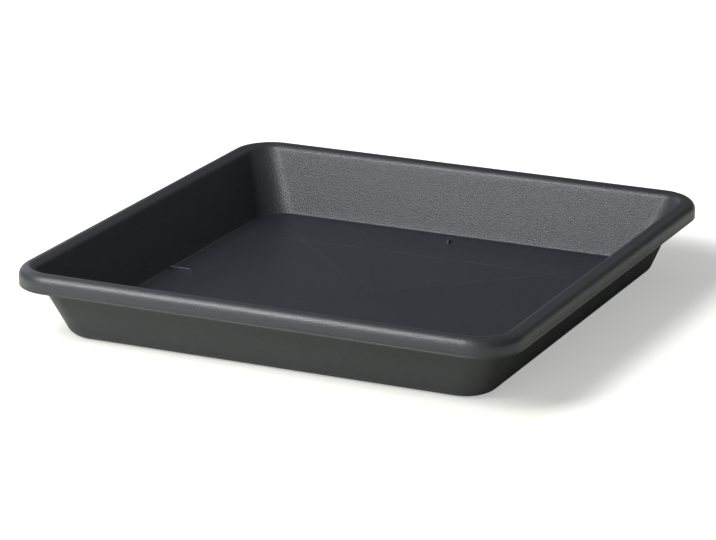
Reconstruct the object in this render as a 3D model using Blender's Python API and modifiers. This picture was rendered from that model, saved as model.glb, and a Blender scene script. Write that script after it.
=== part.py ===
# Square plant saucer: a shallow tray moulded in one piece from anthracite polypropylene.
# Metres, +Z up. The origin is on the ground, under the middle of the saucer.
import math

import bmesh
import bpy

# Overall
overall_side = 0.400  # across the rim's outer faces, both ways
overall_height = 0.056  # ground to the top of the rim
wall_thickness = 0.0025  # walls, rim and skirt
wall_draft = math.radians(19.6)  # lean of the walls from upright

# Rolled rim with its hanging skirt
rim_radius = 0.0072  # outside of the half-round arch
rim_corner_radius = 0.034  # corner of the rim's outer face, seen from above
skirt_drop = 0.0138  # top of the rim to the skirt's lower edge
skirt_edge_radius = 0.0005

# Foot of the walls and the band that the saucer stands on
foot_corner_radius = 0.027  # corner of the walls' outside, seen from above, at ground level
inner_foot_radius = 0.0025
outer_foot_radius = 0.012
standing_band = 0.010  # width of the flat band that touches the ground
floor_recess = 0.001  # ground to the floor's underside

# Floor, which rises to its middle in four shallow faces
floor_thickness = 0.0025
crown_side = 0.260  # square in which the floor rises
crown_height = 0.0025
crown_corner_radius = 0.020

# Stops on the floor, which keep a pot in the middle: a rib at the left and right wall, a stud at the front and back
rib_length = 0.020  # from the foot of the wall
stud_length = 0.0065  # its inner end stands as far from the wall as a rib's
stop_width = 0.0025
stop_height = 0.0026  # above the floor
stop_end_slope = math.radians(44.0)
stop_edge_radius = 0.0005

# Facets
corner_steps = 12
side_steps = 4
foot_steps = 6
arch_steps = 7
edge_steps = 3
crown_steps = 4

# Worked out from the sizes above
half_side = overall_side / 2
arch_centre = (half_side - rim_radius, overall_height - rim_radius)
skirt_low = overall_height - skirt_drop
floor_top = floor_recess + floor_thickness


def wall_distance(arch_radius, height):
    """Distance from the middle to the wall skin that runs tangent into the rim's arch of this radius."""
    tangent_distance = arch_centre[0] - arch_radius * math.cos(wall_draft)
    tangent_height = arch_centre[1] + arch_radius * math.sin(wall_draft)
    return tangent_distance - (tangent_height - height) * math.tan(wall_draft)


def rim_corner(distance):
    """Corner radius of the rim's skins: all the rim's corners share one centre."""
    return rim_corner_radius - (half_side - distance)


def wall_corner(arch_radius, height):
    """Corner radius of a wall skin, which changes evenly from the rim down to ground level."""
    at_rim = rim_corner(arch_centre[0] - arch_radius * math.cos(wall_draft))
    inset = wall_distance(rim_radius - wall_thickness, 0) - wall_distance(arch_radius, 0)
    at_ground = foot_corner_radius - inset
    return at_ground + (at_rim - at_ground) * height / (arch_centre[1] + arch_radius * math.sin(wall_draft))


def arc(centre, radius, start, end, steps):
    """Points (distance, height) along an arc, with angles from the outward level direction, up."""
    points = []
    for step in range(steps + 1):
        angle = start + (end - start) * step / steps
        points.append((centre[0] + radius * math.cos(angle), centre[1] + radius * math.sin(angle)))
    return points


def foot_stations(arch_radius, foot_radius, level):
    """Stations round the foot, from the wall skin to the level skin below it."""
    centre_height = level + foot_radius
    centre_distance = wall_distance(arch_radius, centre_height) - foot_radius / math.cos(wall_draft)
    points = arc((centre_distance, centre_height), foot_radius, -wall_draft, -math.pi / 2, foot_steps)
    start_distance, start_height = points[0]
    corner = wall_corner(arch_radius, start_height)
    return [(distance, height, corner - (start_distance - distance)) for distance, height in points]


def arch_stations(radius):
    """Stations over the rim's arch, from the wall through the top to the level of its centre."""
    points = arc(arch_centre, radius, math.pi - wall_draft, math.pi / 2, arch_steps)
    points += arc(arch_centre, radius, math.pi / 2, 0, arch_steps)[1:]
    return [(distance, height, rim_corner(distance)) for distance, height in points]


def crown_stations(level):
    """Stations from just outside the middle of the floor to the edge of its raised part."""
    stations = []
    for step in range(1, crown_steps + 1):
        share = step / crown_steps
        height = level + crown_height * (1 - share)
        stations.append((share * crown_side / 2, height, share * crown_corner_radius))
    return stations


def skirt_edge_stations():
    """Stations round the skirt's lower edge, from its outer face to its inner face."""
    height = skirt_low + skirt_edge_radius
    outer_centre = (half_side - skirt_edge_radius, height)
    inner_centre = (half_side - wall_thickness + skirt_edge_radius, height)
    points = arc(outer_centre, skirt_edge_radius, 0, -math.pi / 2, edge_steps)
    points += arc(inner_centre, skirt_edge_radius, -math.pi / 2, -math.pi, edge_steps)
    return [(distance, height, rim_corner(distance)) for distance, height in points]


def section_stations():
    """The moulding's section as (half side, height, corner radius), over the top and back underneath."""
    inner_arch = rim_radius
    outer_arch = rim_radius - wall_thickness
    underfoot = foot_stations(outer_arch, outer_foot_radius, 0)
    band_edge = underfoot[-1][0] - standing_band
    band_corner = max(underfoot[-1][2] - standing_band, crown_corner_radius)
    stations = crown_stations(floor_top)
    stations += reversed(foot_stations(inner_arch, inner_foot_radius, floor_top))
    stations += arch_stations(inner_arch)
    stations += skirt_edge_stations()
    stations += reversed(arch_stations(outer_arch))
    stations += underfoot
    stations.append((band_edge, 0, band_corner))
    stations.append((band_edge - floor_recess, floor_recess, band_corner))
    stations += reversed(crown_stations(floor_recess))
    return stations


def rounded_square(half, height, corner_radius):
    """Points of a level rounded square, anticlockwise seen from above."""
    points = []
    reach = half - corner_radius
    for quarter in range(4):
        turn = quarter * math.pi / 2
        corner = arc((reach, reach), corner_radius, 0, math.pi / 2, corner_steps)
        for step in range(1, side_steps):
            corner.append((reach * (1 - 2 * step / side_steps), half))
        for across, along in corner:
            x = across * math.cos(turn) - along * math.sin(turn)
            y = across * math.sin(turn) + along * math.cos(turn)
            points.append((x, y, height))
    return points


def saucer_mesh():
    """Loft through the stations' rounded squares, closed at the middle of the floor, above and below."""
    mesh = bpy.data.meshes.new("saucer")
    shape = bmesh.new()
    rings = []
    for half, height, corner_radius in section_stations():
        points = rounded_square(half, height, corner_radius)
        rings.append([shape.verts.new(point) for point in points])
    count = len(rings[0])
    for inner, outer in zip(rings, rings[1:]):
        for index in range(count):
            following = (index + 1) % count
            shape.faces.new((inner[index], outer[index], outer[following], inner[following]))
    top = shape.verts.new((0, 0, floor_top + crown_height))
    bottom = shape.verts.new((0, 0, floor_recess + crown_height))
    for index in range(count):
        following = (index + 1) % count
        shape.faces.new((top, rings[0][index], rings[0][following]))
        shape.faces.new((bottom, rings[-1][following], rings[-1][index]))
    shape.to_mesh(mesh)
    shape.free()
    return mesh


# The stops' inner ends, tops and roots
stop_end = wall_distance(rim_radius, floor_top) - rib_length
stop_top = floor_top + stop_height
stop_slope_run = stop_height / math.tan(stop_end_slope)
stop_root = floor_top - floor_thickness / 2


def rib_outline():
    """Side view of a rib (distance, height): its outer end is rooted in the wall and its bottom in the floor."""
    foot = foot_stations(rim_radius, inner_foot_radius, floor_top)
    root_distance = wall_distance(rim_radius, stop_top) + wall_thickness / 2
    return [
        (stop_end, stop_root),
        (foot[-1][0], stop_root),
        (root_distance, stop_top),
        (stop_end + stop_slope_run, stop_top),
        (stop_end, floor_top),
    ]


def stud_outline():
    """Side view of a stud (distance, height): it slopes at both ends and its bottom is rooted in the floor."""
    outer_end = stop_end + stud_length
    return [
        (stop_end, stop_root),
        (outer_end, stop_root),
        (outer_end, floor_top),
        (outer_end - stop_slope_run, stop_top),
        (stop_end + stop_slope_run, stop_top),
        (stop_end, floor_top),
    ]


def stop_mesh(name, points):
    """A stop along +X: its flat outline given the stops' width."""
    outline = bpy.data.curves.new(name, "CURVE")
    outline.dimensions = "2D"
    outline.fill_mode = "BOTH"
    outline.extrude = stop_width / 2
    spline = outline.splines.new("POLY")
    spline.points.add(len(points) - 1)
    for point, (distance, height) in zip(spline.points, points):
        point.co = (distance, height, 0, 1)
    spline.use_cyclic_u = True
    holder = bpy.data.objects.new(name, outline)
    bpy.context.scene.collection.objects.link(holder)
    graph = bpy.context.evaluated_depsgraph_get()
    mesh = bpy.data.meshes.new_from_object(holder.evaluated_get(graph))
    mesh.name = name
    bpy.data.objects.remove(holder)
    shape = bmesh.new()
    shape.from_mesh(mesh)
    bmesh.ops.remove_doubles(shape, verts=shape.verts, dist=0.00001)
    shape.to_mesh(mesh)
    shape.free()
    return mesh


def polypropylene():
    """Anthracite polypropylene with the dull sheen of a fine mould grain."""
    material = bpy.data.materials.new("anthracite_polypropylene")
    material.use_nodes = True
    shader = material.node_tree.nodes["Principled BSDF"]
    shader.inputs["Base Color"].default_value = (0.042, 0.045, 0.052, 1)
    shader.inputs["Roughness"].default_value = 0.42
    shader.inputs["Metallic"].default_value = 0
    material.diffuse_color = (0.042, 0.045, 0.052, 1)
    return material


def add_object(name, mesh, collection):
    part = bpy.data.objects.new(name, mesh)
    collection.objects.link(part)
    return part


def add_collection(name):
    collection = bpy.data.collections.new(name)
    bpy.context.scene.collection.children.link(collection)
    return collection


def build():
    for old in list(bpy.data.objects):
        bpy.data.objects.remove(old)
    parts = add_collection("square_plant_saucer")
    tools = add_collection("joined_stops")

    saucer = add_object("saucer", saucer_mesh(), parts)
    saucer.data.materials.append(polypropylene())

    rib = stop_mesh("rib", rib_outline())
    stud = stop_mesh("stud", stud_outline())
    for place, mesh, quarter in (("right", rib, 0), ("back", stud, 1), ("left", rib, 2), ("front", stud, 3)):
        stop = add_object(f"{mesh.name}_{place}", mesh, tools)
        # The outline stands up on its edge, then turns to its own wall
        stop.rotation_euler = (math.pi / 2, 0, quarter * math.pi / 2)
        stop.hide_render = True
        stop.display_type = "WIRE"
        rounding = stop.modifiers.new("rounded_edges", "BEVEL")
        rounding.width = stop_edge_radius
        rounding.segments = 2
        join = saucer.modifiers.new(f"join_{place}", "BOOLEAN")
        join.operation = "UNION"
        join.solver = "EXACT"
        join.object = stop

    saucer.data.shade_smooth()
    saucer.data.set_sharp_from_angle(angle=math.radians(35))


build()
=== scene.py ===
# A square plant saucer, moulded in one piece from anthracite polypropylene: an open tray with leaning walls,
# a rolled rim that hangs down outside as a skirt, and four small stops on the floor that keep a pot
# in the middle.
# Metres. The ground is z = 0, the origin is under the middle, and the front wall faces -y.
import math

import bmesh
import bpy
from mathutils import Matrix, Vector, noise


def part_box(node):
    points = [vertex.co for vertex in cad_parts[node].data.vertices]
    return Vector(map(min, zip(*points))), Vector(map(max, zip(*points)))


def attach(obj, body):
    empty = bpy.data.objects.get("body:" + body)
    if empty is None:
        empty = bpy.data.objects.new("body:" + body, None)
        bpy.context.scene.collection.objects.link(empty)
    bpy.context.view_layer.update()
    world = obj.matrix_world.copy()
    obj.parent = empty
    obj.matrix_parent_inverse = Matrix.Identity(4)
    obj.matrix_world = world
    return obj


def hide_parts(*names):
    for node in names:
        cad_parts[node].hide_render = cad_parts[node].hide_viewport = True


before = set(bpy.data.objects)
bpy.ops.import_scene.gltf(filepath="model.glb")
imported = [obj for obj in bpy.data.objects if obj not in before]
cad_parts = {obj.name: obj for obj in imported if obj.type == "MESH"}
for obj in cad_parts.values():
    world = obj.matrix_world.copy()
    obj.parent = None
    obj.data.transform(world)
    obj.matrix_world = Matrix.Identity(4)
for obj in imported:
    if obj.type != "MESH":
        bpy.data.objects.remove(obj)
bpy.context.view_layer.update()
print("frame loaded:", ", ".join(sorted(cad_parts)))

millimetres = 1000  # in a metre: the materials' sizes are in mm


def hexToLinear(hexText):
    # A colour as it is picked on a screen, turned to the linear values that shaders and lamps use
    channels = [int(hexText[start:start + 2], 16) / 255 for start in (1, 3, 5)]
    return [c / 12.92 if c <= 0.04045 else ((c + 0.055) / 1.055) ** 2.4 for c in channels] + [1.0]


def addNode(tree, kind, inputs=None, **settings):
    # inputs: a socket's name or number -> its value, or the output socket that feeds it
    node = tree.nodes.new(kind)
    for name, value in settings.items():
        setattr(node, name, value)
    for name, value in (inputs or {}).items():
        if isinstance(value, bpy.types.NodeSocket):
            tree.links.new(value, node.inputs[name])
        else:
            node.inputs[name].default_value = value
    return node


def linkToScene(piece):
    bpy.context.scene.collection.objects.link(piece)
    return piece


# The moulding's section, swept round a square with rounded corners
saucer = {
    "wallThickness": 0.0025,
    "wallDraft": math.radians(19.6),  # lean from upright
    "rimRadius": 0.0072,  # outside of the half-round arch
    "rimCorner": 0.034,  # plan radius of the rim's outer face
    "skirtDrop": 0.0138,  # top of the rim to the skirt's lower edge
    "skirtEdge": 0.0005,
    # The mould parts along the skirt's lower edge and leaves a fine lip there, with a shallow relief above it
    "lipHeight": 0.0007,
    "reliefDepth": 0.00026,
    "reliefHeight": 0.0022,
    "reliefTaper": 0.6,  # share of that height, from the lip up, that is cut in to the full depth
    "reliefStep": 1.8,  # rise of its lower edge above the lip, in depths
    "footCorner": 0.027,  # plan radius of the wall's outside at ground level
    "innerFoot": 0.0025,
    "outerFoot": 0.012,
    "standingBand": 0.010,  # flat band that touches the ground
    "floorRecess": 0.001,
    "floorThickness": 0.0025,
    "crownSide": 0.260,  # the floor rises to its middle inside this square
    "crownHeight": 0.0025,
    "crownCorner": 0.020,
    # How many faces each stretch is split into
    "cornerSteps": 28,
    "sideSteps": 32,
    "archSteps": 18,
    "footSteps": 12,
    "wallSteps": 10,
    "edgeSteps": 4,
    "marginSteps": 8,
    "crownSteps": 26,
    "shortSpanSteps": 3,  # down the skirt's faces and across the underside's margin
    "floorFinishSteps": 8,  # of the inner foot's steps, those with the floor's finish
    "leastEdge": 0.000002,  # the shortest edge that is kept where the stops and the stub join
    "sharpAngle": math.radians(35),
}
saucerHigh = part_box("saucer")[1]
halfSide = saucerHigh.x
archCentre = (halfSide - saucer["rimRadius"], saucerHigh.z - saucer["rimRadius"])
floorTop = saucer["floorRecess"] + saucer["floorThickness"]


def wallDistance(archRadius, height):
    # From the middle of the saucer to the wall skin that runs into the rim's arch of this radius
    draft = saucer["wallDraft"]
    tangentHeight = archCentre[1] + archRadius * math.sin(draft)
    return archCentre[0] - archRadius * math.cos(draft) - (tangentHeight - height) * math.tan(draft)


def rimCorner(distance):
    return saucer["rimCorner"] - (halfSide - distance)  # the rim's corners share one centre


def wallCorner(archRadius, height):
    # The corner tightens evenly from the rim down to the ground
    draft = saucer["wallDraft"]
    atRim = rimCorner(archCentre[0] - archRadius * math.cos(draft))
    inset = wallDistance(saucer["rimRadius"] - saucer["wallThickness"], 0) - wallDistance(archRadius, 0)
    atGround = saucer["footCorner"] - inset
    return atGround + (atRim - atGround) * height / (archCentre[1] + archRadius * math.sin(draft))


def arcPoints(centre, radius, start, end, steps):
    angles = [start + (end - start) * step / steps for step in range(steps + 1)]
    return [(centre[0] + radius * math.cos(a), centre[1] + radius * math.sin(a)) for a in angles]


def footStations(archRadius, footRadius, level):
    # From the wall skin round to the level skin below it
    draft = saucer["wallDraft"]
    centreHeight = level + footRadius
    centreDistance = wallDistance(archRadius, centreHeight) - footRadius / math.cos(draft)
    points = arcPoints((centreDistance, centreHeight), footRadius, -draft, -math.pi / 2, saucer["footSteps"])
    startDistance, startHeight = points[0]
    corner = wallCorner(archRadius, startHeight)
    return [(distance, height, corner - (startDistance - distance)) for distance, height in points]


def archStations(radius):
    points = arcPoints(archCentre, radius, math.pi - saucer["wallDraft"], math.pi / 2, saucer["archSteps"])
    points += arcPoints(archCentre, radius, math.pi / 2, 0, saucer["archSteps"])[1:]
    return [(distance, height, rimCorner(distance)) for distance, height in points]


def crownStations(level):
    stations = []
    for step in range(1, saucer["crownSteps"] + 1):
        share = step / saucer["crownSteps"]
        height = level + saucer["crownHeight"] * (1 - share)
        stations.append((share * saucer["crownSide"] / 2, height, share * saucer["crownCorner"]))
    return stations


def skirtStations():
    edge = saucer["skirtEdge"]
    height = saucerHigh.z - saucer["skirtDrop"] + edge
    lipTop = saucerHigh.z - saucer["skirtDrop"] + saucer["lipHeight"]
    relieved = halfSide - saucer["reliefDepth"]
    points = [
        (halfSide, lipTop + saucer["reliefHeight"]),
        (relieved, lipTop + saucer["reliefTaper"] * saucer["reliefHeight"]),
        (relieved, lipTop + saucer["reliefStep"] * saucer["reliefDepth"]),
        (halfSide, lipTop),
    ]
    points += arcPoints((halfSide - edge, height), edge, 0, -math.pi / 2, saucer["edgeSteps"])
    inner = (halfSide - saucer["wallThickness"] + edge, height)
    points += arcPoints(inner, edge, -math.pi / 2, -math.pi, saucer["edgeSteps"])
    return [(distance, height, rimCorner(distance)) for distance, height in points]


def between(first, last, steps):
    # Even stations between two, without the two themselves
    shares = [step / steps for step in range(1, steps)]
    return [tuple(a + (b - a) * share for a, b in zip(first, last)) for share in shares]


def sectionStations():
    # (half side, height, corner radius) from the middle of the floor out, over the rim and back underneath
    outerArch = saucer["rimRadius"] - saucer["wallThickness"]
    crown = crownStations(floorTop)
    innerFoot = list(reversed(footStations(saucer["rimRadius"], saucer["innerFoot"], floorTop)))
    overRim = archStations(saucer["rimRadius"])
    skirt = skirtStations()
    underRim = list(reversed(archStations(outerArch)))
    underFoot = footStations(outerArch, saucer["outerFoot"], 0)
    bandEdge = underFoot[-1][0] - saucer["standingBand"]
    bandCorner = max(underFoot[-1][2] - saucer["standingBand"], saucer["crownCorner"])
    recess = saucer["floorRecess"]
    band = [(bandEdge, 0, bandCorner), (bandEdge - recess, recess, bandCorner)]
    below = list(reversed(crownStations(recess)))
    short = saucer["shortSpanSteps"]
    stations = crown + between(crown[-1], innerFoot[0], saucer["marginSteps"]) + innerFoot
    # The floor's finish runs most of the way round the foot
    floorEnd = len(crown) + saucer["marginSteps"] - 1 + saucer["floorFinishSteps"]
    stations += between(innerFoot[-1], overRim[0], saucer["wallSteps"]) + overRim
    stations += between(overRim[-1], skirt[0], short) + skirt
    stations += between(skirt[-1], underRim[0], short) + underRim
    stations += between(underRim[-1], underFoot[0], saucer["wallSteps"]) + underFoot
    stations += band + between(band[-1], below[0], short) + below
    return stations, floorEnd


def roundedSquare(half, height, cornerRadius):
    points = []
    reach = half - cornerRadius
    for quarter in range(4):
        turn = quarter * math.pi / 2
        side = arcPoints((reach, reach), cornerRadius, 0, math.pi / 2, saucer["cornerSteps"])
        for step in range(1, saucer["sideSteps"]):
            side.append((reach * (1 - 2 * step / saucer["sideSteps"]), half))
        for across, along in side:
            x = across * math.cos(turn) - along * math.sin(turn)
            y = across * math.sin(turn) + along * math.cos(turn)
            points.append((x, y, height))
    return points


# What cooling does to a thin flat moulding: the floor sways a little, and the crown's four hips stand up
# as soft creases
cooling = {
    "swayLength": 0.075,
    "swayHeight": 0.00010,
    "swaySlice": 0.31,  # the level at which the noise is cut
    "hipWidth": 0.0030,
    "hipHeight": 0.00010,
    "hipStart": 0.03,  # a hip grows to its full height over this distance from the middle
    "fadeFrom": 0.157,  # nothing moves beyond this, where the foot of the walls starts
    "fadeWidth": 0.02,  # strip inside that, and inside the crown's edge, over which the height fades
}


def floorRelief(x, y):
    away = max(abs(x), abs(y))
    fade = min(1, max(0, (cooling["fadeFrom"] - away) / cooling["fadeWidth"]))
    sway = noise.noise(Vector((x, y, cooling["swaySlice"])) / cooling["swayLength"]) * cooling["swayHeight"]
    fromHip = abs(abs(x) - abs(y)) / math.sqrt(2)
    insideCrown = min(1, max(0, (saucer["crownSide"] / 2 - away) / cooling["fadeWidth"]))
    onCrown = insideCrown * min(1, away / cooling["hipStart"])
    hip = math.exp(-(fromHip / cooling["hipWidth"]) ** 2) * cooling["hipHeight"] * onCrown
    return fade * (sway + hip)


def makeTray():
    stations, floorEnd = sectionStations()
    shape = bmesh.new()
    rings = []
    for number, station in enumerate(stations):
        points = roundedSquare(*station)
        if number < floorEnd:
            points = [(x, y, z + floorRelief(x, y)) for x, y, z in points]
        rings.append([shape.verts.new(point) for point in points])
    count = len(rings[0])
    for number, (inner, outer) in enumerate(zip(rings, rings[1:])):
        for index in range(count):
            following = (index + 1) % count
            face = shape.faces.new((inner[index], outer[index], outer[following], inner[following]))
            face.material_index = 1 if number < floorEnd else 0
    top = shape.verts.new((0, 0, floorTop + saucer["crownHeight"] + floorRelief(0, 0)))
    bottom = shape.verts.new((0, 0, saucer["floorRecess"] + saucer["crownHeight"]))
    for index in range(count):
        following = (index + 1) % count
        shape.faces.new((top, rings[0][index], rings[0][following])).material_index = 1
        shape.faces.new((bottom, rings[-1][following], rings[-1][index]))
    mesh = bpy.data.meshes.new("saucerTray")
    shape.to_mesh(mesh)
    shape.free()
    return mesh


# Stops on the floor that keep a pot in the middle: a rib at the left and right wall, a stud at the front
# and back
stop = {
    "ribLength": 0.020,  # from the foot of the wall
    "studLength": 0.0065,  # its inner end stands as far in as a rib's
    "width": 0.0025,
    "height": 0.0026,  # above the floor
    "endSlope": math.radians(44),
    "edgeRadius": 0.0006,
    "edgeSteps": 3,
    "edgeProfile": 0.5,  # round
}


def makeStop(name, ribbed):
    # A rib's outer end is rooted in the wall, a stud slopes at both ends, and the bottom of each is rooted
    # in the floor
    end = wallDistance(saucer["rimRadius"], floorTop) - stop["ribLength"]
    top = floorTop + stop["height"]
    root = floorTop - saucer["floorThickness"] / 2
    slopeRun = stop["height"] / math.tan(stop["endSlope"])
    if ribbed:
        inWall = wallDistance(saucer["rimRadius"], top) + saucer["wallThickness"] / 2
        footEnd = footStations(saucer["rimRadius"], saucer["innerFoot"], floorTop)[-1][0]
        outline = [(end, root), (footEnd, root), (inWall, top)]
    else:
        outerEnd = end + stop["studLength"]
        outline = [(end, root), (outerEnd, root), (outerEnd, floorTop), (outerEnd - slopeRun, top)]
    outline += [(end + slopeRun, top), (end, floorTop)]
    shape = bmesh.new()
    near = [shape.verts.new((x, -stop["width"] / 2, z)) for x, z in outline]
    far = [shape.verts.new((x, stop["width"] / 2, z)) for x, z in outline]
    shape.faces.new(near)
    shape.faces.new(list(reversed(far)))
    for index in range(len(outline)):
        following = (index + 1) % len(outline)
        shape.faces.new((near[following], near[index], far[index], far[following]))
    bmesh.ops.recalc_face_normals(shape, faces=shape.faces)
    bmesh.ops.bevel(
        shape, geom=list(shape.edges), offset=stop["edgeRadius"], segments=stop["edgeSteps"],
        profile=stop["edgeProfile"], affect="EDGES")
    for face in shape.faces:
        face.material_index = 1
    mesh = bpy.data.meshes.new(name)
    shape.to_mesh(mesh)
    shape.free()
    return mesh


# The stub that is left where the plastic entered the mould, in the middle of the floor
gateStub = {
    "radius": 0.0011,
    "height": 0.0004,
    "skirtRadius": 0.0028,
    "skirtHeight": 0.00012,
    "skirtSlope": 0.0003,
    "rootDepth": 0.001,
    "domeSteps": 5,
    "turnSteps": 32,
}


def makeGateStub():
    # A low dome on a wider, lower one, turned round z
    level = floorTop + saucer["crownHeight"]
    radius, skirtRadius, skirtHeight = (gateStub[key] for key in ("radius", "skirtRadius", "skirtHeight"))
    section = [(skirtRadius, -gateStub["rootDepth"]), (skirtRadius, 0.0)]
    section += [(skirtRadius - gateStub["skirtSlope"], skirtHeight), (radius, skirtHeight)]
    for step in range(1, gateStub["domeSteps"]):
        angle = math.pi / 2 * step / gateStub["domeSteps"]
        rise = skirtHeight + (gateStub["height"] - skirtHeight) * math.sin(angle)
        section.append((radius * math.cos(angle), rise))
    shape = bmesh.new()
    turns = gateStub["turnSteps"]
    rings = []
    angles = [2 * math.pi * turn / turns for turn in range(turns)]
    for away, rise in section:
        points = [(away * math.cos(a), away * math.sin(a), level + rise) for a in angles]
        rings.append([shape.verts.new(point) for point in points])
    for lower, upper in zip(rings, rings[1:]):
        for turn in range(turns):
            following = (turn + 1) % turns
            shape.faces.new((lower[turn], lower[following], upper[following], upper[turn]))
    shape.faces.new(list(reversed(rings[0])))
    shape.faces.new(rings[-1])
    for face in shape.faces:
        face.material_index = 1
    mesh = bpy.data.meshes.new("gateStub")
    shape.to_mesh(mesh)
    shape.free()
    return mesh


# Polypropylene moulded against a spark-eroded tool: a fine sandy grain that spreads the sheen and glitters
# in it. The top of the rim is rubbed smoother by stacking and handling, so its highlight is brighter and
# narrower. The real grain is about 0.2 mm across. It is drawn 0.9 mm across, about the finest that shows at
# this size.
grainedPlastic = {
    "dark": "#242629",
    "light": "#3a3c3f",
    "grainWidth": 0.9,
    "grainDetail": 2.0,
    "grainBreakup": 0.6,
    "grainSpan": (0.3, 0.7),  # the noise's values in the grain's valleys and on its tops
    "grainValleyShade": 0.8,  # the grain's share of the way from dark to light, its valleys drawn darker as painted shade
    "grainHeight": 0.00027,
    "patchWidth": 26,  # slow change of tone from the tool's polish
    "patchDetail": 3.0,
    "patchTone": 0.2,
    "roughness": (0.31, 0.45),
    "rubbedFrom": 49.5,  # height where the rubbing starts, in mm
    "rubbedTo": 53.5,
    "rubbedSmoother": 0.03,
    "rubbedGrain": 0.85,  # share of the grain's height that is left
    "ior": 1.49,
}


def sparkErodedPolypropylene():
    material = bpy.data.materials.new("sparkErodedPolypropylene")
    material.use_nodes = True
    tree = material.node_tree
    tree.nodes.clear()
    place = addNode(tree, "ShaderNodeTexCoord").outputs["Object"]
    inMillimetres = addNode(tree, "ShaderNodeVectorMath", {
        0: place, 1: (millimetres, millimetres, millimetres)}, operation="MULTIPLY").outputs[0]
    grain = addNode(tree, "ShaderNodeTexNoise", {
        "Vector": inMillimetres, "Scale": 1 / grainedPlastic["grainWidth"],
        "Detail": grainedPlastic["grainDetail"], "Roughness": grainedPlastic["grainBreakup"]}).outputs["Fac"]
    patches = addNode(tree, "ShaderNodeTexNoise", {
        "Vector": inMillimetres, "Scale": 1 / grainedPlastic["patchWidth"],
        "Detail": grainedPlastic["patchDetail"]}).outputs["Fac"]
    # Painted shade: the grain's valleys are drawn darker than its tops, and the tone also wanders slowly
    valley, top = grainedPlastic["grainSpan"]
    tone = addNode(tree, "ShaderNodeMapRange", {
        "Value": grain, "From Min": valley, "From Max": top,
        "To Min": 0.0, "To Max": grainedPlastic["grainValleyShade"]}).outputs[0]
    tone = addNode(tree, "ShaderNodeMath", {
        0: patches, 1: grainedPlastic["patchTone"], 2: tone}, operation="MULTIPLY_ADD").outputs[0]
    dark, light = hexToLinear(grainedPlastic["dark"]), hexToLinear(grainedPlastic["light"])
    tint = addNode(tree, "ShaderNodeMix", {0: tone, 6: dark, 7: light}, data_type="RGBA").outputs[2]
    low, high = grainedPlastic["roughness"]
    rough = addNode(tree, "ShaderNodeMapRange", {
        "Value": grain, "From Min": valley, "From Max": top, "To Min": low, "To Max": high}).outputs[0]
    height = addNode(tree, "ShaderNodeSeparateXYZ", {0: inMillimetres}).outputs["Z"]
    rubbed = addNode(tree, "ShaderNodeMapRange", {
        "Value": height, "From Min": grainedPlastic["rubbedFrom"],
        "From Max": grainedPlastic["rubbedTo"]}).outputs[0]
    rough = addNode(tree, "ShaderNodeMath", {
        0: rubbed, 1: -grainedPlastic["rubbedSmoother"], 2: rough}, operation="MULTIPLY_ADD").outputs[0]
    strength = addNode(tree, "ShaderNodeMapRange", {
        "Value": rubbed, "To Min": 1.0, "To Max": grainedPlastic["rubbedGrain"]}).outputs[0]
    bump = addNode(tree, "ShaderNodeBump", {
        "Strength": strength, "Height": grain, "Distance": grainedPlastic["grainHeight"]}).outputs[0]
    shader = addNode(tree, "ShaderNodeBsdfPrincipled", {
        "Base Color": tint, "Roughness": rough, "Normal": bump, "IOR": grainedPlastic["ior"]})
    addNode(tree, "ShaderNodeOutputMaterial", {"Surface": shader.outputs[0]})
    return material


# Polypropylene moulded against a stoned, satin tool face: smooth and even, with a long soft sheen. A fine line
# where something was dragged across it and a few specks of grit show as slightly paler marks. Real
# stoning is finer than 0.1 mm, and is drawn 1.5 mm across so that it shows.
satinPlastic = {
    "dark": "#24282c",
    "light": "#2a2e33",
    # the colour of the drag line and the specks, and of the painted highlight along the crown's hips
    "markedAndHighlit": "#6a6e72",
    "grainWidth": 1.5,
    "grainDetail": 2.0,
    "grainBreakup": 0.6,
    "grainSpan": (0.3, 0.7),
    "grainHeight": 0.00002,
    "patchWidth": 60,
    "patchDetail": 2.0,
    "roughness": (0.42, 0.50),
    "ior": 1.49,
    # The line runs along x: where it is furthest back, how fast it curves away, and its half width, all in mm
    "lineBack": 110.5,
    "lineMiddle": 5,
    "lineCurve": 0.00026,
    "lineHalfWidth": 0.45,
    "pressureWidth": 14,
    "pressureDetail": 2.0,
    "pressureSpan": (0.35, 0.6),  # the noise's values where the line is lightest and where it is full
    "lightestPressure": 0.25,
    "lineFadeSquared": (1500, 20000),  # it fades from 39 to 141 mm off its middle, as squares of those
    "lineEndStrength": 0.3,
    # painted highlight along the crown's hips
    "hipWidth": 4.0,
    "hipHighlight": 0.055,
    "hipFadeIn": (0.1, 0.3),  # from the middle out, in shares of the crown's side
    "hipFadeOut": (0.4, 0.5),
    "specks": [(-151.5, 104.3, 0.9), (-145.5, 105.6, 0.7)],  # x, y and radius
}


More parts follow.
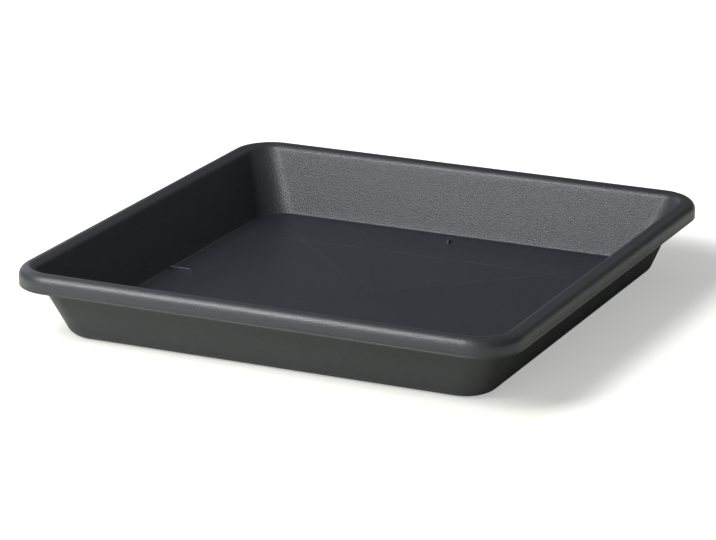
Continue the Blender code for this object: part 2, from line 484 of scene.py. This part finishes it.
def satinPolypropylene():
    material = bpy.data.materials.new("satinPolypropylene")
    material.use_nodes = True
    tree = material.node_tree
    tree.nodes.clear()
    place = addNode(tree, "ShaderNodeTexCoord").outputs["Object"]
    inMillimetres = addNode(tree, "ShaderNodeVectorMath", {
        0: place, 1: (millimetres, millimetres, millimetres)}, operation="MULTIPLY").outputs[0]
    fine = addNode(tree, "ShaderNodeTexNoise", {
        "Vector": inMillimetres, "Scale": 1 / satinPlastic["grainWidth"],
        "Detail": satinPlastic["grainDetail"], "Roughness": satinPlastic["grainBreakup"]}).outputs["Fac"]
    patches = addNode(tree, "ShaderNodeTexNoise", {
        "Vector": inMillimetres, "Scale": 1 / satinPlastic["patchWidth"],
        "Detail": satinPlastic["patchDetail"]}).outputs["Fac"]
    axes = addNode(tree, "ShaderNodeSeparateXYZ", {0: inMillimetres}).outputs

    # Distance to the line, y - (back - curve * (x - middle) ** 2)
    fromMiddle = addNode(tree, "ShaderNodeMath", {
        0: axes["X"], 1: satinPlastic["lineMiddle"]}, operation="SUBTRACT").outputs[0]
    squared = addNode(tree, "ShaderNodeMath", {0: fromMiddle, 1: fromMiddle}, operation="MULTIPLY").outputs[0]
    lineBend = addNode(tree, "ShaderNodeMath", {
        0: squared, 1: satinPlastic["lineCurve"], 2: axes["Y"]}, operation="MULTIPLY_ADD").outputs[0]
    fromLine = addNode(tree, "ShaderNodeMath", {
        0: lineBend, 1: satinPlastic["lineBack"]}, operation="SUBTRACT").outputs[0]
    distance = addNode(tree, "ShaderNodeMath", {0: fromLine}, operation="ABSOLUTE").outputs[0]
    line = addNode(tree, "ShaderNodeMapRange", {
        "Value": distance, "From Min": satinPlastic["lineHalfWidth"], "From Max": 0.0},
        interpolation_type="SMOOTHSTEP").outputs[0]
    # It presses harder in some places than in others, and most in the middle
    pressure = addNode(tree, "ShaderNodeTexNoise", {
        "Vector": inMillimetres, "Scale": 1 / satinPlastic["pressureWidth"],
        "Detail": satinPlastic["pressureDetail"]}).outputs["Fac"]
    lightest, full = satinPlastic["pressureSpan"]
    pressure = addNode(tree, "ShaderNodeMapRange", {
        "Value": pressure, "From Min": lightest, "From Max": full,
        "To Min": satinPlastic["lightestPressure"]}).outputs[0]
    near, far = satinPlastic["lineFadeSquared"]
    towardsEnds = addNode(tree, "ShaderNodeMapRange", {
        "Value": squared, "From Min": near, "From Max": far,
        "To Min": 1.0, "To Max": satinPlastic["lineEndStrength"]}).outputs[0]
    line = addNode(tree, "ShaderNodeMath", {0: line, 1: pressure}, operation="MULTIPLY").outputs[0]
    marksAndHipHighlight = addNode(tree, "ShaderNodeMath", {0: line, 1: towardsEnds}, operation="MULTIPLY").outputs[0]

    # Painted highlight: the crown's hips are drawn a little paler, as light catches their soft rounded creases
    reach = addNode(tree, "ShaderNodeVectorMath", {0: inMillimetres}, operation="ABSOLUTE").outputs[0]
    sides = addNode(tree, "ShaderNodeSeparateXYZ", {0: reach}).outputs
    fromHip = addNode(tree, "ShaderNodeMath", {0: sides["X"], 1: sides["Y"]}, operation="SUBTRACT").outputs[0]
    fromHip = addNode(tree, "ShaderNodeMath", {0: fromHip}, operation="ABSOLUTE").outputs[0]
    hip = addNode(tree, "ShaderNodeMapRange", {
        "Value": fromHip, "From Min": satinPlastic["hipWidth"], "From Max": 0.0,
        "To Max": satinPlastic["hipHighlight"]}).outputs[0]
    crownSide = saucer["crownSide"] * millimetres
    inFrom, inTo = satinPlastic["hipFadeIn"]
    outFrom, outTo = satinPlastic["hipFadeOut"]
    for none, whole in ((outTo, outFrom), (inFrom, inTo)):
        faded = addNode(tree, "ShaderNodeMapRange", {
            "Value": sides["X"], "From Min": none * crownSide, "From Max": whole * crownSide}).outputs[0]
        hip = addNode(tree, "ShaderNodeMath", {0: hip, 1: faded}, operation="MULTIPLY").outputs[0]
    marksAndHipHighlight = addNode(tree, "ShaderNodeMath", {0: marksAndHipHighlight, 1: hip}, operation="MAXIMUM").outputs[0]

    flat = addNode(tree, "ShaderNodeVectorMath", {
        0: inMillimetres, 1: (1, 1, 0)}, operation="MULTIPLY").outputs[0]
    for x, y, radius in satinPlastic["specks"]:
        away = addNode(tree, "ShaderNodeVectorMath", {
            0: flat, 1: (x, y, 0)}, operation="DISTANCE").outputs["Value"]
        speck = addNode(tree, "ShaderNodeMapRange", {
            "Value": away, "From Min": radius, "From Max": 0.0}).outputs[0]
        marksAndHipHighlight = addNode(tree, "ShaderNodeMath", {0: marksAndHipHighlight, 1: speck}, operation="MAXIMUM").outputs[0]

    dark, light, markedAndHighlit = (hexToLinear(satinPlastic[key]) for key in ("dark", "light", "markedAndHighlit"))
    tint = addNode(tree, "ShaderNodeMix", {0: patches, 6: dark, 7: light}, data_type="RGBA").outputs[2]
    tint = addNode(tree, "ShaderNodeMix", {0: marksAndHipHighlight, 6: tint, 7: markedAndHighlit}, data_type="RGBA").outputs[2]
    valley, top = satinPlastic["grainSpan"]
    low, high = satinPlastic["roughness"]
    rough = addNode(tree, "ShaderNodeMapRange", {
        "Value": fine, "From Min": valley, "From Max": top, "To Min": low, "To Max": high}).outputs[0]
    bump = addNode(tree, "ShaderNodeBump", {
        "Height": fine, "Distance": satinPlastic["grainHeight"]}).outputs[0]
    shader = addNode(tree, "ShaderNodeBsdfPrincipled", {
        "Base Color": tint, "Roughness": rough, "Normal": bump, "IOR": satinPlastic["ior"]})
    addNode(tree, "ShaderNodeOutputMaterial", {"Surface": shader.outputs[0]})
    return material


def joinToTray(tray, tools):
    # One moulding has one skin, so the stops and the stub are united with the tray and the mesh is kept
    for tool in tools:
        union = tray.modifiers.new("join", "BOOLEAN")
        union.operation = "UNION"
        union.solver = "EXACT"
        union.object = tool
    graph = bpy.context.evaluated_depsgraph_get()
    joined = bpy.data.meshes.new_from_object(tray.evaluated_get(graph))
    # The union leaves a few faces without area where the stub's cut meets a corner of the tray's mesh
    shape = bmesh.new()
    shape.from_mesh(joined)
    bmesh.ops.dissolve_degenerate(shape, dist=saucer["leastEdge"], edges=shape.edges)
    shape.to_mesh(joined)
    shape.free()
    tray.modifiers.clear()
    tray.data = joined
    for tool in tools:
        bpy.data.objects.remove(tool)


def buildSaucer():
    tray = linkToScene(bpy.data.objects.new("saucerTray", makeTray()))
    tray.data.materials.append(sparkErodedPolypropylene())
    tray.data.materials.append(satinPolypropylene())
    tools = [linkToScene(bpy.data.objects.new("gateStub", makeGateStub()))]
    rib, stud = makeStop("rib", True), makeStop("stud", False)
    for quarter, mesh in enumerate((rib, stud, rib, stud)):
        tool = linkToScene(bpy.data.objects.new(f"stop{quarter}", mesh))
        tool.rotation_euler = (0, 0, quarter * math.pi / 2)
        tools.append(tool)
    joinToTray(tray, tools)
    tray.data.shade_smooth()
    tray.data.set_sharp_from_angle(angle=saucer["sharpAngle"])
    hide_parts("saucer")
    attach(tray, "root")
    print("saucer:", len(tray.data.polygons), "faces, finishes", [m.name for m in tray.data.materials])


buildSaucer()

ground = {
    "side": 6.0,
    "colour": "#d6d7c9",
    "glowNear": 0.40,  # seen straight on, right beside the saucer, so its shadow is soft
    "glowFar": 0.90,  # and further off, where the paper is plain white
    "mirroredGlow": 0.40,  # in reflections, away from the saucer
    "nearEdge": 0.012,  # from the rim
    "farEdge": 0.10,
}


def glowingPaper():
    # Matt paper that gives off painted light of its own beyond the saucer, so the background is plain white
    # while the saucer's shadow stays on it. The glow is weaker near the rim, a painted shade that rings the
    # saucer, and in reflections the paper near the rim does not glow at all, so the walls reflect it dark
    material = bpy.data.materials.new("paperWithPaintedGlow")
    material.use_nodes = True
    tree = material.node_tree
    tree.nodes.clear()
    place = addNode(tree, "ShaderNodeTexCoord").outputs["Object"]
    mirrored = addNode(tree, "ShaderNodeVectorMath", {0: place}, operation="ABSOLUTE").outputs[0]
    reach = halfSide - saucer["rimCorner"]
    beyond = addNode(tree, "ShaderNodeVectorMath", {
        0: mirrored, 1: (reach, reach, 0)}, operation="SUBTRACT").outputs[0]
    beyond = addNode(tree, "ShaderNodeVectorMath", {
        0: beyond, 1: (0, 0, 0)}, operation="MAXIMUM").outputs[0]
    fromCorner = addNode(tree, "ShaderNodeVectorMath", {0: beyond}, operation="LENGTH").outputs["Value"]
    # The glow fades towards the rim: painted shade round the saucer
    clear = addNode(tree, "ShaderNodeMapRange", {
        "Value": fromCorner, "From Min": saucer["rimCorner"] + ground["nearEdge"],
        "From Max": saucer["rimCorner"] + ground["farEdge"]},
        interpolation_type="SMOOTHSTEP").outputs[0]
    straight = addNode(tree, "ShaderNodeMapRange", {
        "Value": clear, "To Min": ground["glowNear"], "To Max": ground["glowFar"]}).outputs[0]
    path = addNode(tree, "ShaderNodeLightPath").outputs
    straight = addNode(tree, "ShaderNodeMath", {
        0: straight, 1: path["Is Camera Ray"]}, operation="MULTIPLY").outputs[0]
    bounced = addNode(tree, "ShaderNodeMath", {
        0: path["Is Glossy Ray"], 1: path["Is Transmission Ray"]}, operation="MAXIMUM").outputs[0]
    bounced = addNode(tree, "ShaderNodeMath", {0: bounced, 1: clear}, operation="MULTIPLY").outputs[0]
    level = addNode(tree, "ShaderNodeMath", {
        0: bounced, 1: ground["mirroredGlow"], 2: straight}, operation="MULTIPLY_ADD").outputs[0]
    matt = addNode(tree, "ShaderNodeBsdfDiffuse", {"Color": hexToLinear(ground["colour"])})
    glow = addNode(tree, "ShaderNodeEmission", {"Color": (1, 1, 1, 1), "Strength": level})
    both = addNode(tree, "ShaderNodeAddShader", {0: matt.outputs[0], 1: glow.outputs[0]})
    addNode(tree, "ShaderNodeOutputMaterial", {"Surface": both.outputs[0]})
    return material


def makeGround():
    shape = bmesh.new()
    half = ground["side"] / 2
    corners = [(-half, -half, 0), (half, -half, 0), (half, half, 0), (-half, half, 0)]
    shape.faces.new([shape.verts.new(corner) for corner in corners])
    mesh = bpy.data.meshes.new("studioFloor")
    shape.to_mesh(mesh)
    shape.free()
    mesh.materials.append(glowingPaper())
    linkToScene(bpy.data.objects.new("studioFloor", mesh))
    print("floor laid")


makeGround()

# Azimuth is counted anticlockwise from +x seen from above, and elevation up from the floor, in degrees
softboxes = {
    "frontLeftSoftbox": {
        "azimuth": 239, "elevation": 40, "distance": 1.3,
        "width": 0.5, "height": 0.62, "watts": 19.5, "colour": "#f8f9ff"},
    "highLeftSoftbox": {
        "azimuth": 214, "elevation": 56, "distance": 1.4,
        "width": 0.6, "height": 0.6, "watts": 3.0, "colour": "#fbfbff"},
    "frontRightSoftbox": {
        "azimuth": 284, "elevation": 24, "distance": 1.4,
        "width": 0.5, "height": 0.6, "watts": 1.5, "colour": "#fffdf8"},
    "lowFrontSoftbox": {
        "azimuth": 260, "elevation": 8, "distance": 1.4,
        "width": 0.8, "height": 0.26, "watts": 3.0, "colour": "#fffaf2"},
    "leftCard": {
        "azimuth": 150, "elevation": 20, "distance": 1.5,
        "width": 1.0, "height": 0.5, "watts": 2.0, "colour": "#f4f6ff"},
    "backCard": {
        "azimuth": 55, "elevation": 35, "distance": 1.6,
        "width": 2.0, "height": 0.8, "watts": 1.6, "colour": "#f4f8ff"},
}
lampTarget = Vector((0, 0, 0.03))  # in the middle of the tray
surround = {"colour": "#f4f8ff", "strength": 0.125}


def makeLamps():
    for name, box in softboxes.items():
        lamp = bpy.data.lights.new(name, "AREA")
        lamp.shape = "RECTANGLE"
        lamp.size, lamp.size_y = box["width"], box["height"]
        lamp.energy = box["watts"]
        lamp.color = hexToLinear(box["colour"])[:3]
        azimuth, elevation = math.radians(box["azimuth"]), math.radians(box["elevation"])
        level = math.cos(elevation)
        way = Vector((math.cos(azimuth) * level, math.sin(azimuth) * level, math.sin(elevation)))
        holder = linkToScene(bpy.data.objects.new(name, lamp))
        holder.location = way * box["distance"] + lampTarget
        holder.rotation_euler = way.to_track_quat("Z", "Y").to_euler()
    world = bpy.data.worlds.new("studioSurround")
    bpy.context.scene.world = world
    world.use_nodes = True
    background = world.node_tree.nodes["Background"]
    background.inputs["Color"].default_value = hexToLinear(surround["colour"])
    background.inputs["Strength"].default_value = surround["strength"]
    print("lamps:", ", ".join(softboxes))


makeLamps()

# Matched to the photograph's rim and floor edges. The focal length is in the photograph's pixels.
camera = {
    "focalPixels": 3434.911,
    "imageWidth": 716,
    "sensorWidth": 36.0,
    "azimuth": 25.648,
    "elevation": 17.834,
    "roll": -0.358,
    "distance": 2.600529,
    "sideways": -0.006596,
    "upward": -0.003026,
    "targetHeight": 0.028,
    "clipEnd": 20,
}


def makeCamera():
    azimuth, elevation, roll = (math.radians(camera[key]) for key in ("azimuth", "elevation", "roll"))
    level = math.cos(elevation)
    back = Vector((math.sin(azimuth) * level, -math.cos(azimuth) * level, math.sin(elevation)))
    right = Vector((math.cos(azimuth), math.sin(azimuth), 0))
    up = back.cross(right)
    spot = Vector((0, 0, camera["targetHeight"])) + back * camera["distance"]
    spot += right * camera["sideways"] + up * camera["upward"]
    tiltedRight = right * math.cos(roll) + up * math.sin(roll)
    tiltedUp = up * math.cos(roll) - right * math.sin(roll)
    lens = bpy.data.cameras.new("photoCamera")
    lens.sensor_width = camera["sensorWidth"]
    lens.lens = camera["sensorWidth"] * camera["focalPixels"] / camera["imageWidth"]
    lens.clip_end = camera["clipEnd"]
    holder = linkToScene(bpy.data.objects.new("photoCamera", lens))
    holder.matrix_world = Matrix.Translation(spot) @ Matrix((tiltedRight, tiltedUp, back)).transposed().to_4x4()
    bpy.context.scene.camera = holder
    print("camera:", round(lens.lens, 1), "mm")


makeCamera()
bpy.context.scene.view_settings.view_transform = "Standard"
